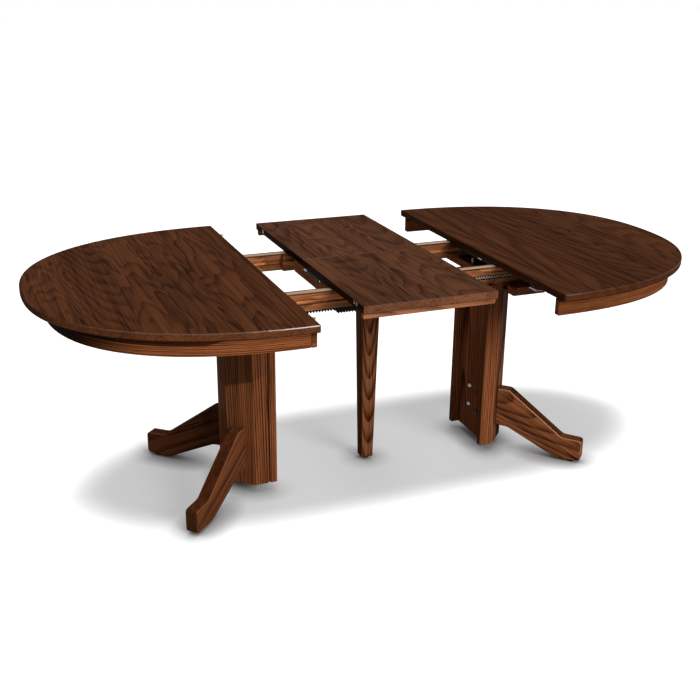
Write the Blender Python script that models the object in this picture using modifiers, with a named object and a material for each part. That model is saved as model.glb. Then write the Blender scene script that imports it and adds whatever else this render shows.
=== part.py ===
# Oval split-pedestal dining table, drawn out on geared slides, with a folding leaf in the gap.
# Metres, +Z up. X runs along the slides (left half at -X), Y from the front (-Y) to the back.
# The origin is on the floor under the middle of the table.
import math

import bmesh
import bpy
from mathutils import Matrix, Vector

# Half tops
TABLE_HEIGHT = 0.774
TOP_LENGTH = 0.759
TOP_WIDTH = 1.222
TOP_SQUARENESS = 2.25
TOP_THICKNESS = 0.025
TOP_EASE = 0.004
DRAW_OUT = 0.4015

# Folding leaf
LEAF_WIDTH = 0.455
LEAF_LENGTH = 1.0905
LEAF_SHIFT = 0.0415
LEAF_EASE = 0.0015
FOLD_GAP = 0.0006
FOLD_RISE = 0.0005
LEAF_APRON_HEIGHT = 0.0185
LEAF_APRON_THICKNESS = 0.018
LEAF_APRON_INSET = 0.010
LEAF_APRON_SIDE = 0.0025
BATTEN_HEIGHT = 0.046
BATTEN_THICKNESS = 0.020
BATTEN_INSET = 0.004
BATTEN_GAP = 0.010
HINGE_LENGTH = 0.300
HINGE_WIDTH = 0.012
HINGE_THICKNESS = 0.0025

# Aprons
APRON_HEIGHT = 0.056
APRON_THICKNESS = 0.020
APRON_END_INSET = 0.0605
APRON_SIDE_INSET = 0.037
APRON_SQUARENESS = 2.45
APRON_LEFT_RECESS = 0.017
APRON_RIGHT_RECESS = 0.0035
APRON_CORNER = 0.006
APRON_EASE = 0.002
END_BLOCK_WIDTH = 0.0185

# Slides
RAIL_HEIGHT = 0.058
RAIL_WIDTH = 0.040
CENTRE_RAIL_WIDTH = 0.018
RAIL_SPREAD = 0.154
RAIL_TAIL = 0.300
CENTRE_RAIL_LEFT = 0.247
CENTRE_RAIL_RIGHT = 0.210
GROOVE_HEIGHT = 0.013
GROOVE_DEPTH = 0.007
GUIDE_HEIGHT = 0.009
GUIDE_DEPTH = 0.0065
STRIP_WIDTH = 0.024
STRIP_THICKNESS = 0.003

# Rack and pinion
GEAR_MODULE = 0.0032
PINION_TEETH = 8
PRESSURE_ANGLE = math.radians(25)
RACK_ADDENDUM = 0.70
PINION_ADDENDUM = 0.80
ROOT_CLEARANCE = 0.25
BACKLASH = 0.0005
RACK_CORE = 0.0055
RACK_THICKNESS = 0.0075
RACK_WEB = 0.0025
RACK_DROP = 0.0335
RACK_SPARE_TEETH = 2
AXLE_RADIUS = 0.0045
LUG_WALL = 0.008
PINION_OFFSET = 0.015

# Carriage under the leaf
BEAM_WIDTH = 0.090
BEAM_THICKNESS = 0.026
CENTRE_LEG_TOP = 0.0695
CENTRE_LEG_FOOT = 0.044
CENTRE_LEG_EASE = 0.003
CENTRE_BOLT_RADIUS = 0.005
CENTRE_BOLT_GRIP = 0.060

# Split pedestal
COLUMN_HALF_WIDTH = 0.1255
COLUMN_SIDE = 0.0525
COLUMN_CHAMFER = 0.0735
COLUMN_BOARD = 0.022
COLUMN_RECESS = 0.0125
COLUMN_LIFT = 0.031
CORE_RECESS = 0.030
COLUMN_STRIP_WIDTH = 0.030
STRIP_REVEAL = 0.005
STRIP_REVEAL_DEPTH = 0.007
BOARD_EASE = 0.0015
CLEAT_THICKNESS = 0.029
CLEAT_LENGTH = 0.125
CLEAT_RECESS = 0.016
CLEAT_OVERHANG = 0.012

# Legs
LEG_LENGTH = 0.3275
LEG_THICKNESS = 0.045
LEG_EASE = 0.003
LEG_ROOT_TOP = 0.245
LEG_ROOT_BOTTOM = 0.0995
LEG_SHOULDER = 0.047
LEG_TOE_TOP = 0.0905
LEG_TOE_LENGTH = 0.075
LEG_FOOT_LENGTH = 0.095
LEG_BOLT_RADIUS = 0.0045
LEG_BOLT_SPACING = 0.076
LEG_BOLT_GRIP = 0.055
BOLT_HEAD_RADIUS = 0.0095
BOLT_HEAD_HEIGHT = 0.009
BOLT_PLATE_WIDTH = 0.020
BOLT_PLATE_THICKNESS = 0.003
BOLT_POCKET_MARGIN = 0.0015
BOLT_POCKET_DEPTH = 0.0135
GLIDE_RADIUS = 0.012
GLIDE_HEIGHT = 0.009
GLIDE_FROM_TOE = 0.038

# Small hardware
DOWEL_RADIUS = 0.0045
DOWEL_REACH = 0.016
DOWEL_GRIP = 0.018
DOWEL_FROM_CORNER = 0.094
DOWEL_FROM_LEAF_END = 0.088
LOCK_LENGTH = 0.070
LOCK_WIDTH = 0.034
LOCK_THICKNESS = 0.003
LOCK_SETBACK = 0.006
LOCK_FROM_APRON = 0.008

# Clearances and fineness
FIT = 0.0003
RUN = 0.0005
OVERCUT = 0.004
OVAL_STEPS = 56
ARC_STEPS = 5
FLANK_STEPS = 4
ROUND_SIDES = 12

# Half ovals as (length, half width, squareness); 2 would be a plain ellipse
top_oval = (TOP_LENGTH, TOP_WIDTH / 2, TOP_SQUARENESS)
apron_oval = (TOP_LENGTH - APRON_END_INSET, TOP_WIDTH / 2 - APRON_SIDE_INSET, APRON_SQUARENESS)
apron_inner = (apron_oval[0] - APRON_THICKNESS, apron_oval[1] - APRON_THICKNESS, APRON_SQUARENESS)

# Heights that follow from the sizes above
top_under = TABLE_HEIGHT - TOP_THICKNESS
rail_top = top_under - FIT
rail_bottom = rail_top - RAIL_HEIGHT
cleat_top = rail_bottom - FIT
cleat_bottom = cleat_top - CLEAT_THICKNESS
column_top = cleat_bottom - FIT
beam_bottom = cleat_top - BEAM_THICKNESS
board_middle = TABLE_HEIGHT - TOP_THICKNESS / 2

# The slide stack, as distances from the table's middle plane
right_rail_face = RAIL_SPREAD + RAIL_WIDTH
centre_rail_in = right_rail_face + RUN
centre_rail_out = centre_rail_in + CENTRE_RAIL_WIDTH
left_rail_face = centre_rail_out + RUN
left_rail_out = left_rail_face + RAIL_WIDTH
rebate_depth = RACK_THICKNESS + FIT + RUN

# Gear sizes
tooth_pitch = math.pi * GEAR_MODULE
pitch_radius = GEAR_MODULE * PINION_TEETH / 2
base_radius = pitch_radius * math.cos(PRESSURE_ANGLE)
tip_radius = pitch_radius + PINION_ADDENDUM * GEAR_MODULE
root_radius = pitch_radius - (RACK_ADDENDUM + ROOT_CLEARANCE) * GEAR_MODULE
rack_root = (PINION_ADDENDUM + ROOT_CLEARANCE) * GEAR_MODULE
rack_pitch_line = RACK_CORE / 2 + rack_root
rack_half = rack_pitch_line + RACK_ADDENDUM * GEAR_MODULE
right_rack_z = rail_top - RACK_DROP
pinion_z = right_rack_z - rack_pitch_line - pitch_radius
left_rack_z = pinion_z - pitch_radius - rack_pitch_line
pinion_x = BEAM_WIDTH / 2 + PINION_OFFSET + tip_radius
rack_reach_teeth = math.ceil(DRAW_OUT / tooth_pitch) + 1
rail_overrun = (RACK_SPARE_TEETH + 1) * tooth_pitch

# Rail grooves, each as (height of its middle, height, depth)
right_rebate_top = right_rack_z + rack_half + FIT
left_rebate_top = pinion_z + tip_radius + 2 * RUN
strip_floor = rail_top - STRIP_THICKNESS - FIT
middle_groove = ((rail_top + rail_bottom) / 2, GROOVE_HEIGHT, GROOVE_DEPTH)
upper_groove = ((right_rebate_top + strip_floor) / 2, GUIDE_HEIGHT, GUIDE_DEPTH)

# Ends of the leaf, and what lines up with them
leaf_front_end = LEAF_SHIFT - LEAF_LENGTH / 2
leaf_back_end = LEAF_SHIFT + LEAF_LENGTH / 2
dowel_front = DOWEL_FROM_CORNER - TOP_WIDTH / 2
dowel_back = leaf_back_end - DOWEL_FROM_LEAF_END
lock_front = leaf_front_end + LEAF_APRON_INSET + LEAF_APRON_THICKNESS + LOCK_FROM_APRON + LOCK_LENGTH / 2

# Pedestal plan, for a half whose split faces the middle of the table
column_split = DRAW_OUT + COLUMN_RECESS
core_face = column_split + CORE_RECESS
cleat_start = column_split + CLEAT_RECESS
column_shoulder = column_split + COLUMN_SIDE
column_outer = column_shoulder + COLUMN_CHAMFER
column_flat = COLUMN_HALF_WIDTH - COLUMN_CHAMFER
leg_seat_x = column_shoulder + COLUMN_CHAMFER / 2
leg_seat_y = COLUMN_HALF_WIDTH - COLUMN_CHAMFER / 2

# Finishes: colour, roughness, metallic
FINISHES = {
    "walnut_top": ((0.070, 0.030, 0.015), 0.35, 0.0),
    "stained_base": ((0.150, 0.058, 0.024), 0.40, 0.0),
    "slide_wood": ((0.270, 0.120, 0.050), 0.50, 0.0),
    "pale_strip": ((0.500, 0.400, 0.300), 0.80, 0.0),
    "black_plastic": ((0.012, 0.012, 0.013), 0.45, 0.0),
    "black_steel": ((0.020, 0.020, 0.022), 0.40, 0.9),
    "bright_steel": ((0.550, 0.550, 0.560), 0.30, 1.0),
    "pale_dowel": ((0.550, 0.400, 0.260), 0.60, 0.0),
}


def new_collection(name):
    group = bpy.data.collections.new(name)
    bpy.context.scene.collection.children.link(group)
    return group


def new_empty(name, place):
    empty = bpy.data.objects.new(name, None)
    empty.location = place
    parts.objects.link(empty)
    return empty


def hang(item, parent, matrix):
    item.parent = parent
    item.matrix_parent_inverse = Matrix.Translation(-parent.location)
    item.matrix_basis = matrix


def finish_material(name, finish):
    colour, roughness, metallic = FINISHES[finish]
    material = bpy.data.materials.new(name)
    material.use_nodes = True
    shader = material.node_tree.nodes["Principled BSDF"]
    shader.inputs["Base Color"].default_value = (*colour, 1)
    shader.inputs["Roughness"].default_value = roughness
    shader.inputs["Metallic"].default_value = metallic
    material.diffuse_color = (*colour, 1)
    return material


def mesh_from(shape, name):
    mesh = bpy.data.meshes.new(name)
    bmesh.ops.recalc_face_normals(shape, faces=shape.faces)
    shape.to_mesh(mesh)
    shape.free()
    return mesh


def add_part(name, shape, finish, parent, matrix=Matrix.Identity(4), smooth=False):
    mesh = mesh_from(shape, name)
    mesh.materials.append(finish_material(name, finish))
    if smooth:
        mesh.shade_smooth()
        mesh.set_sharp_from_angle(angle=math.radians(35))
    part = bpy.data.objects.new(name, mesh)
    parts.objects.link(part)
    hang(part, parent, matrix)
    return part


def ease_edges(part, width, segments=1):
    bevel = part.modifiers.new("eased_edges", "BEVEL")
    bevel.width = width
    bevel.segments = segments
    bevel.limit_method = "ANGLE"
    bevel.angle_limit = math.radians(40)


def add_tool(name, shape, parent, matrix=Matrix.Identity(4)):
    tool = bpy.data.objects.new(name, mesh_from(shape, name))
    tool.hide_render = True
    tool.display_type = "WIRE"
    cutters.objects.link(tool)
    hang(tool, parent, matrix)
    return tool


def carve(part, tool, operation="DIFFERENCE"):
    boolean = part.modifiers.new(tool.name, "BOOLEAN")
    boolean.operation = operation
    boolean.solver = "EXACT"
    boolean.object = tool


def box_shape(x_span, y_span, z_span):
    spans = (x_span, y_span, z_span)
    middle = Vector([(low + high) / 2 for low, high in spans])
    size = Vector([abs(high - low) for low, high in spans])
    shape = bmesh.new()
    bmesh.ops.create_cube(shape, size=1, matrix=Matrix.Translation(middle) @ Matrix.Diagonal((*size, 1)))
    return shape


def rod_shape(radius, start, end, end_radius=None, sides=ROUND_SIDES):
    start = Vector(start)
    along = Vector(end) - start
    turn = along.to_track_quat("Z", "Y").to_matrix().to_4x4()
    shape = bmesh.new()
    bmesh.ops.create_cone(
        shape,
        cap_ends=True,
        segments=sides,
        radius1=radius,
        radius2=radius if end_radius is None else end_radius,
        depth=along.length,
        matrix=Matrix.Translation(start + along / 2) @ turn,
    )
    return shape


def sheet_shape(loops, depth):
    # A flat outline with any holes, filled and drawn out by depth along its own +Z.
    curve = bpy.data.curves.new("outline", "CURVE")
    curve.dimensions = "2D"
    curve.fill_mode = "BOTH"
    curve.extrude = depth / 2
    for loop in loops:
        spline = curve.splines.new("POLY")
        spline.points.add(len(loop) - 1)
        spline.use_cyclic_u = True
        for spot, (across, up) in zip(spline.points, loop):
            spot.co = (across, up, 0, 1)
    holder = bpy.data.objects.new("outline", curve)
    bpy.context.scene.collection.objects.link(holder)
    mesh = bpy.data.meshes.new_from_object(holder.evaluated_get(bpy.context.evaluated_depsgraph_get()))
    shape = bmesh.new()
    shape.from_mesh(mesh)
    bpy.data.meshes.remove(mesh)
    bpy.data.objects.remove(holder)
    bpy.data.curves.remove(curve)
    bmesh.ops.remove_doubles(shape, verts=shape.verts, dist=1e-6)
    bmesh.ops.dissolve_limit(shape, angle_limit=math.radians(0.2), verts=shape.verts, edges=shape.edges)
    bmesh.ops.translate(shape, verts=shape.verts, vec=(0, 0, depth / 2))
    return shape


def group_shape(shapes):
    group = bmesh.new()
    for shape in shapes:
        mesh = mesh_from(shape, "piece")
        group.from_mesh(mesh)
        bpy.data.meshes.remove(mesh)
    return group


def standing(height):
    return Matrix.Translation((0, 0, height))


def along_slide(start):
    # Outline axes (Y, Z), drawn out along +X.
    return Matrix(((0, 0, 1, start), (1, 0, 0, 0), (0, 1, 0, 0), (0, 0, 0, 1)))


def across_front(distance):
    # Outline axes (X, Z), drawn out along -Y from this distance in front of the middle.
    return Matrix(((1, 0, 0, 0), (0, 0, -1, -distance), (0, 1, 0, 0), (0, 0, 0, 1)))


def rounded(corners):
    # Corners are (across, up, radius); each one becomes an arc.
    outline = []
    for index, (across, up, radius) in enumerate(corners):
        here = Vector((across, up))
        if radius == 0:
            outline.append(here)
            continue
        before = (Vector(corners[index - 1][:2]) - here).normalized()
        after = (Vector(corners[(index + 1) % len(corners)][:2]) - here).normalized()
        half_angle = before.angle(after) / 2
        middle = here + (before + after).normalized() * radius / math.sin(half_angle)
        first = here + before * radius / math.tan(half_angle) - middle
        sweep = first.angle_signed(here + after * radius / math.tan(half_angle) - middle)
        for step in range(ARC_STEPS + 1):
            outline.append(middle + Matrix.Rotation(-sweep * step / ARC_STEPS, 2) @ first)
    return outline


def oval_arc(side, oval, recess):
    # The rim of a half oval, from one end of its split edge round to the other.
    length, half_width, squareness = oval
    reach = math.acos((recess / length) ** (squareness / 2))
    points = []
    for step in range(OVAL_STEPS + 1):
        turn = reach * (2 * step / OVAL_STEPS - 1)
        out = length * math.cos(turn) ** (2 / squareness)
        deep = half_width * math.copysign(abs(math.sin(turn)) ** (2 / squareness), turn)
        points.append((side * (DRAW_OUT + out), deep))
    return points


def inset_path(path, inset):
    # The path moved to its left, keeping its corners mitred.
    runs = [(after - before).normalized() for before, after in zip(path, path[1:])]
    lefts = [Vector((-run.y, run.x)) for run in runs]
    lefts = [lefts[0], *lefts, lefts[-1]]
    moved = []
    for spot, before, after in zip(path, lefts, lefts[1:]):
        moved.append(spot + inset * (before + after) / (1 + before.dot(after)))
    return moved


def column_path():
    half = COLUMN_HALF_WIDTH
    front = [(column_split, -half), (column_shoulder, -half), (column_outer, -column_flat)]
    back = [(across, -deep) for across, deep in reversed(front)]
    return [Vector(spot) for spot in front + back]


def shell_outline(side):
    outer = column_path()
    return [(side * spot.x, spot.y) for spot in outer + inset_path(outer, COLUMN_BOARD)[::-1]]


def core_outline(side):
    path = inset_path(column_path(), COLUMN_BOARD + FIT)
    path[0].x = core_face
    path[-1].x = core_face
    return [(side * spot.x, spot.y) for spot in path]


def leg_outline():
    toe = LEG_LENGTH
    return rounded([
        (0, LEG_ROOT_TOP, 0),
        (LEG_SHOULDER, LEG_ROOT_TOP, LEG_SHOULDER / 2),
        (toe - LEG_TOE_LENGTH, LEG_TOE_TOP + LEG_EASE, LEG_TOE_LENGTH / 2),
        (toe, LEG_TOE_TOP, LEG_TOE_LENGTH / 6),
        (toe, GLIDE_HEIGHT + FIT, LEG_TOE_LENGTH / 6),
        (toe - LEG_FOOT_LENGTH, GLIDE_HEIGHT + FIT, LEG_FOOT_LENGTH),
        (LEG_SHOULDER, LEG_ROOT_BOTTOM - LEG_EASE, LEG_SHOULDER),
        (0, LEG_ROOT_BOTTOM, 0),
    ])


def rail_outline(guide, rebate_top, far_groove):
    # Corners as (distance from the face that meets the centre rail, height).
    middle, height, depth = guide
    corners = [(0, rail_bottom)]
    if rebate_top:
        corners = [(rebate_depth, rail_bottom), (rebate_depth, rebate_top), (0, rebate_top)]
    corners += [(0, middle - height / 2), (depth, middle - height / 2)]
    corners += [(depth, middle + height / 2), (0, middle + height / 2), (0, rail_top)]
    strip_near = (RAIL_WIDTH - STRIP_WIDTH) / 2 - FIT
    strip_far = RAIL_WIDTH - strip_near
    corners += [(strip_near, rail_top), (strip_near, strip_floor), (strip_far, strip_floor), (strip_far, rail_top)]
    corners.append((RAIL_WIDTH, rail_top))
    if far_groove:
        middle, height, depth = middle_groove
        corners += [(RAIL_WIDTH, middle + height / 2), (RAIL_WIDTH - depth, middle + height / 2)]
        corners += [(RAIL_WIDTH - depth, middle - height / 2), (RAIL_WIDTH, middle - height / 2)]
    corners.append((RAIL_WIDTH, rail_bottom))
    return corners


def rack_shape(height, first, last, depth):
    # A double-edged rack whose tooth spaces line up with the pinion; teeth are counted from it.
    half_tooth = tooth_pitch / 4 - BACKLASH / 4
    lean = math.tan(PRESSURE_ANGLE)
    tip_half = half_tooth - RACK_ADDENDUM * GEAR_MODULE * lean
    root_half = half_tooth + rack_root * lean
    shape = bmesh.new()
    bar = []
    for tooth in range(first, last):
        middle = pinion_x + (tooth + 0.5) * tooth_pitch
        for half in (-root_half, root_half):
            bar.append([shape.verts.new((middle + half, height + up, 0)) for up in (-RACK_CORE / 2, RACK_CORE / 2)])
        for edge, up in ((0, -rack_half), (1, rack_half)):
            tips = [shape.verts.new((middle + half, height + up, 0)) for half in (tip_half, -tip_half)]
            shape.faces.new((bar[-2][edge], bar[-1][edge], *tips))
    for before, after in zip(bar, bar[1:]):
        shape.faces.new((before[0], after[0], after[1], before[1]))
    drawn = bmesh.ops.extrude_face_region(shape, geom=shape.faces[:], use_keep_orig=True)
    moved = [item for item in drawn["geom"] if isinstance(item, bmesh.types.BMVert)]
    bmesh.ops.translate(shape, verts=moved, vec=(0, 0, depth))
    return shape


def involute(angle):
    return math.tan(angle) - angle


def pinion_outline():
    # Tooth flanks are involutes; one tooth points straight up.
    half_tooth = (tooth_pitch / 2 - BACKLASH / 2) / 2 / pitch_radius + involute(PRESSURE_ANGLE)
    flank = [(root_radius, half_tooth)]
    foot = max(base_radius, root_radius)
    for step in range(FLANK_STEPS + 1):
        radius = foot + (tip_radius - foot) * step / FLANK_STEPS
        flank.append((radius, half_tooth - involute(math.acos(min(1, base_radius / radius)))))
    outline = []
    for tooth in range(PINION_TEETH):
        middle = math.pi / 2 - math.tau * tooth / PINION_TEETH
        for radius, half in flank:
            outline.append((radius * math.cos(middle + half), radius * math.sin(middle + half)))
        for radius, half in reversed(flank):
            outline.append((radius * math.cos(middle - half), radius * math.sin(middle - half)))
    return [(pinion_x + across, pinion_z + up) for across, up in outline]


def pinion_bore():
    turns = [math.tau * step / ROUND_SIDES for step in range(ROUND_SIDES)]
    bore = AXLE_RADIUS + FIT
    return [(pinion_x + bore * math.cos(turn), pinion_z + bore * math.sin(turn)) for turn in turns]


def build_top(name, side, parent):
    top = add_part(f"{name}_top", sheet_shape([oval_arc(side, top_oval, 0)], TOP_THICKNESS), "walnut_top", parent,
                   standing(top_under), smooth=True)
    ease_edges(top, TOP_EASE, 2)
    depth = (DOWEL_GRIP if side < 0 else DOWEL_REACH) + FIT
    holes = [dowel_hole(side * DRAW_OUT, side, deep, depth) for deep in (dowel_front, dowel_back)]
    carve(top, add_tool(f"{name}_dowel_holes", group_shape(holes), parent))


def build_apron(name, side, parent):
    recess = APRON_LEFT_RECESS if side < 0 else APRON_RIGHT_RECESS
    outline = oval_arc(side, apron_oval, recess) + oval_arc(side, apron_inner, recess)[::-1]
    shape = sheet_shape([outline], APRON_HEIGHT)
    if side > 0:
        # The open ends of the right apron have a rounded lower corner.
        ends = [edge for edge in shape.edges if all(abs(spot.co.x - DRAW_OUT - recess) < FIT for spot in edge.verts)]
        lower = [edge for edge in ends if all(spot.co.z < FIT for spot in edge.verts)]
        bmesh.ops.bevel(shape, geom=lower, offset=APRON_CORNER, segments=ARC_STEPS, profile=0.5, affect="EDGES")
    apron = add_part(f"{name}_apron", shape, "stained_base", parent, standing(rail_top - APRON_HEIGHT), smooth=True)
    ease_edges(apron, APRON_EASE)


def build_end_blocks():
    outside = oval_arc(1, apron_oval, APRON_LEFT_RECESS)[-1][1]
    start = -(DRAW_OUT + APRON_LEFT_RECESS - FIT)
    for facing, where in ((-1, "front"), (1, "back")):
        deep = (facing * (outside - APRON_THICKNESS), facing * outside)
        block = box_shape((start, start + END_BLOCK_WIDTH), deep, (rail_top - APRON_HEIGHT, rail_top))
        ease_edges(add_part(f"left_{where}_apron_block", block, "stained_base", left_half), APRON_EASE)


def build_column(name, side, parent):
    height = column_top - COLUMN_LIFT
    shell = add_part(f"{name}_column_shell", sheet_shape([shell_outline(side)], height), "stained_base", parent,
                     standing(COLUMN_LIFT))
    ease_edges(shell, BOARD_EASE)
    core = add_part(f"{name}_column_core", sheet_shape([core_outline(side)], height), "stained_base", parent,
                    standing(COLUMN_LIFT))
    ease_edges(core, BOARD_EASE)
    reach = left_rail_out + CLEAT_OVERHANG
    cleat = add_part(f"{name}_cleat", box_shape((side * cleat_start, side * (cleat_start + CLEAT_LENGTH)),
                     (-reach, reach), (cleat_bottom, cleat_top)), "stained_base", parent)
    ease_edges(cleat, BOARD_EASE)
    for facing, where in ((-1, "front"), (1, "back")):
        build_leg(f"{name}_{where}", side, facing, parent, shell, core)
    return cleat


def build_column_strips():
    # Each strip is rebated along the column, which leaves a dark line between them.
    near = -(column_split - FIT)
    far = near + COLUMN_STRIP_WIDTH
    for facing, where in ((-1, "front"), (1, "back")):
        inner, floor, outer = (facing * (COLUMN_HALF_WIDTH - deep) for deep in (COLUMN_BOARD, STRIP_REVEAL_DEPTH, 0))
        lip = near + STRIP_REVEAL
        outline = [(near, inner), (near, floor), (lip, floor), (lip, outer), (far, outer), (far, inner)]
        strip = add_part(f"left_{where}_column_strip", sheet_shape([outline], column_top - COLUMN_LIFT), "stained_base",
                         left_half, standing(COLUMN_LIFT))
        ease_edges(strip, BOARD_EASE)


def build_leg(name, side, facing, parent, shell, core):
    # The leg stands square on a corner face of the column. Its own frame runs out, up and across.
    slant = math.sqrt(0.5)
    out = Vector((side * slant, facing * slant, 0))
    frame = Matrix((out, (0, 0, 1), out.cross((0, 0, 1)))).transposed().to_4x4()
    frame.translation = (side * leg_seat_x, facing * leg_seat_y, 0)
    leg = add_part(f"{name}_leg", sheet_shape([leg_outline()], LEG_THICKNESS), "stained_base", parent,
                   frame @ Matrix.Translation((FIT, 0, -LEG_THICKNESS / 2)), smooth=True)
    ease_edges(leg, LEG_EASE)
    # Two bolts run from heads in the core, through the column, into the leg; a plate let into the leg ties them.
    middle = (LEG_ROOT_TOP + LEG_ROOT_BOTTOM) / 2
    heights = [middle + step * LEG_BOLT_SPACING for step in (-0.5, 0.5)]
    mouth = (core_face - leg_seat_x) / slant
    floor = mouth + BOLT_POCKET_DEPTH
    seat = floor - FIT
    plate_half = (LEG_BOLT_SPACING + BOLT_PLATE_WIDTH) / 2
    plate = box_shape((FIT, FIT + BOLT_PLATE_THICKNESS), (middle - plate_half, middle + plate_half),
                      (-BOLT_PLATE_WIDTH / 2, BOLT_PLATE_WIDTH / 2))
    recess = box_shape((-OVERCUT, 2 * FIT + BOLT_PLATE_THICKNESS), (middle - plate_half - FIT, middle + plate_half + FIT),
                       (-BOLT_PLATE_WIDTH / 2 - FIT, BOLT_PLATE_WIDTH / 2 + FIT))
    carve(leg, add_tool(f"{name}_plate_recess", recess, parent, frame))
    heads, shafts, holes, pockets = [], [], [], []
    for height in heights:
        heads.append(rod_shape(BOLT_HEAD_RADIUS, (seat, height, 0), (seat - BOLT_HEAD_HEIGHT, height, 0),
                               0.8 * BOLT_HEAD_RADIUS))
        shafts.append(rod_shape(LEG_BOLT_RADIUS, (seat - RUN, height, 0), (LEG_BOLT_GRIP, height, 0)))
        holes.append(rod_shape(LEG_BOLT_RADIUS + FIT, (floor - RUN, height, 0), (LEG_BOLT_GRIP + FIT, height, 0)))
        pockets.append(rod_shape(BOLT_HEAD_RADIUS + BOLT_POCKET_MARGIN, (mouth - 2 * BOLT_PLATE_WIDTH, height, 0),
                                 (floor, height, 0)))
    bolt_pair = add_part(f"{name}_leg_bolts", plate, "bright_steel", parent, frame)
    for kind, shapes in (("shafts", shafts), ("heads", heads)):
        carve(bolt_pair, add_tool(f"{name}_bolt_{kind}", group_shape(shapes), parent, frame), "UNION")
    hole_tool = add_tool(f"{name}_bolt_holes", group_shape(holes), parent, frame)
    for part in (leg, shell, core):
        carve(part, hole_tool)
    carve(core, add_tool(f"{name}_bolt_pockets", group_shape(pockets), parent, frame))
    foot = frame @ Vector((FIT + LEG_LENGTH - GLIDE_FROM_TOE, 0, 0))
    add_glide(f"{name}_glide", foot, parent)


def add_glide(name, foot, parent):
    top = foot + Vector((0, 0, GLIDE_HEIGHT))
    add_part(name, rod_shape(GLIDE_RADIUS, foot, top, 0.9 * GLIDE_RADIUS), "black_plastic", parent, smooth=True)


def build_rails(name, span, face, away, parent):
    # Away is +1 for rails outside the centre rails and -1 for rails inside them.
    rebate_top = left_rebate_top if away > 0 else right_rebate_top
    for facing, where, guide, rebate in ((-1, "front", upper_groove, rebate_top), (1, "back", middle_groove, 0)):
        corners = rail_outline(guide, rebate, far_groove=away > 0)
        outline = [(facing * (face + away * inward), up) for inward, up in corners]
        add_part(f"{name}_{where}_rail", sheet_shape([outline], span[1] - span[0]), "slide_wood", parent,
                 along_slide(span[0]))
        edge = (RAIL_WIDTH - STRIP_WIDTH) / 2
        deep = (facing * (face + away * edge), facing * (face + away * (edge + STRIP_WIDTH)))
        strip = box_shape(span, deep, (rail_top - STRIP_THICKNESS, rail_top))
        add_part(f"{name}_{where}_rail_strip", strip, "pale_strip", parent)


def build_racks():
    teeth = rack_shape(left_rack_z, -rack_reach_teeth, RACK_SPARE_TEETH, RACK_THICKNESS - RACK_WEB)
    rack = add_part("left_rack", teeth, "black_plastic", left_half, across_front(left_rail_face + RUN))
    span = (pinion_x - rack_reach_teeth * tooth_pitch, pinion_x + RACK_SPARE_TEETH * tooth_pitch)
    outside = left_rail_face + RUN + RACK_THICKNESS
    web = box_shape(span, (-outside, RACK_WEB + RUN - outside), (left_rack_z - RACK_CORE / 2 + RUN, left_rebate_top - RUN))
    carve(rack, add_tool("left_rack_web", web, left_half), "UNION")
    teeth = rack_shape(right_rack_z, -RACK_SPARE_TEETH, rack_reach_teeth, RACK_THICKNESS)
    add_part("right_rack", teeth, "black_plastic", right_half, across_front(right_rail_face - RUN - RACK_THICKNESS))


def build_pinion():
    inner_width = RACK_THICKNESS - RUN
    outer_width = RACK_THICKNESS - RACK_WEB - 2 * RUN
    inner_start = right_rail_face - inner_width
    inner = add_part("inner_pinion", sheet_shape([pinion_outline()], inner_width), "black_plastic", pinion_spin,
                     across_front(inner_start))
    ends = [(pinion_x, -distance, pinion_z) for distance in (inner_start + RUN, left_rail_face + outer_width)]
    carve(inner, add_tool("pinion_axle", rod_shape(AXLE_RADIUS, *ends), pinion_spin), "UNION")
    add_part("outer_pinion", sheet_shape([pinion_outline(), pinion_bore()], outer_width), "black_plastic", pinion_spin,
             across_front(left_rail_face))


def build_centre_rail(where, facing, guide):
    middle, height, depth = guide
    span = (-CENTRE_RAIL_LEFT, CENTRE_RAIL_RIGHT)
    deep = (facing * centre_rail_in, facing * centre_rail_out)
    rail = add_part(f"{where}_centre_rail", box_shape(span, deep, (rail_bottom, rail_top)), "slide_wood", carriage)
    span = (FIT - CENTRE_RAIL_LEFT, CENTRE_RAIL_RIGHT - FIT)
    deep = (facing * (centre_rail_in - depth), facing * (centre_rail_out + depth))
    tongue = box_shape(span, deep, (middle - height / 2 + RUN, middle + height / 2 - RUN))
    carve(rail, add_tool(f"{where}_tongue", tongue, carriage), "UNION")
    return rail


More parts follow.
